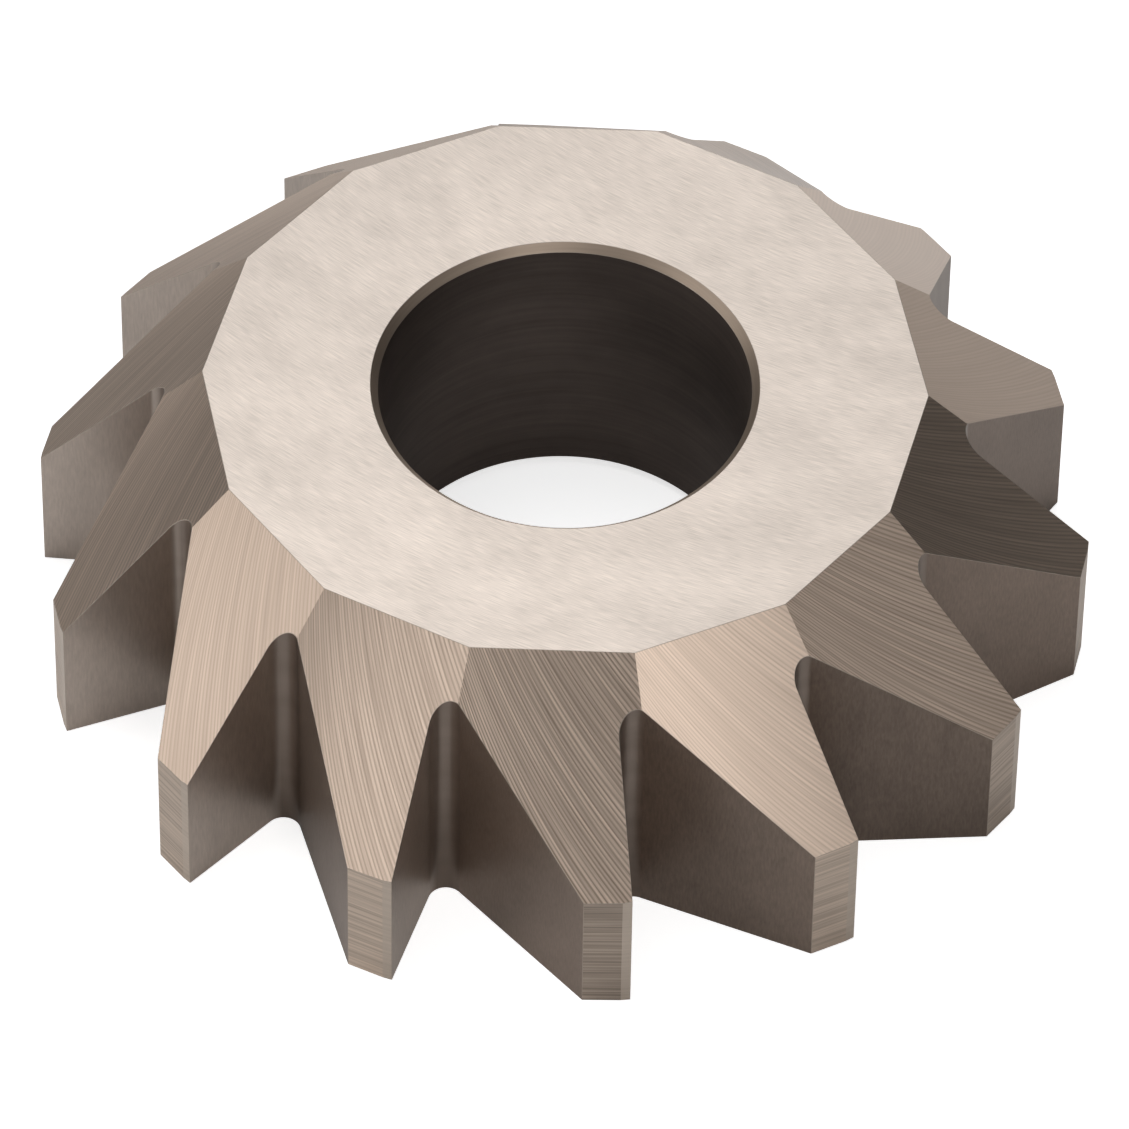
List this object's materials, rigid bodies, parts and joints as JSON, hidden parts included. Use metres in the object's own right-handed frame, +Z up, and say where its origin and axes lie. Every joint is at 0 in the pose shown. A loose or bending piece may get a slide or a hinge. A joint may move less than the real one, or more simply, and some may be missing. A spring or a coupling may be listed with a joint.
{
  "type": "head tube reamer",
  "caption": "One-piece conical steel reamer with radial rake faces, flat-ground facets and a plain bore, for cutting the tapered bearing seat in a bicycle's head tube.",
  "frame": {"origin": "centre of the bore on the flat underside", "axes": "+Z up the bore, from the wide underside to the small top face; +X through a cutting corner, with that tooth's rake face in the XZ plane"},
  "size_m": [0.042, 0.0414, 0.0128],
  "materials": {
    "tool_steel": "bare hardened tool steel, ground on the top face, facets and lands and milled in the gullets"
  },
  "bodies": {
    "root": {"reamer_cutter": "tool_steel"}
  },
  "joints": []
}
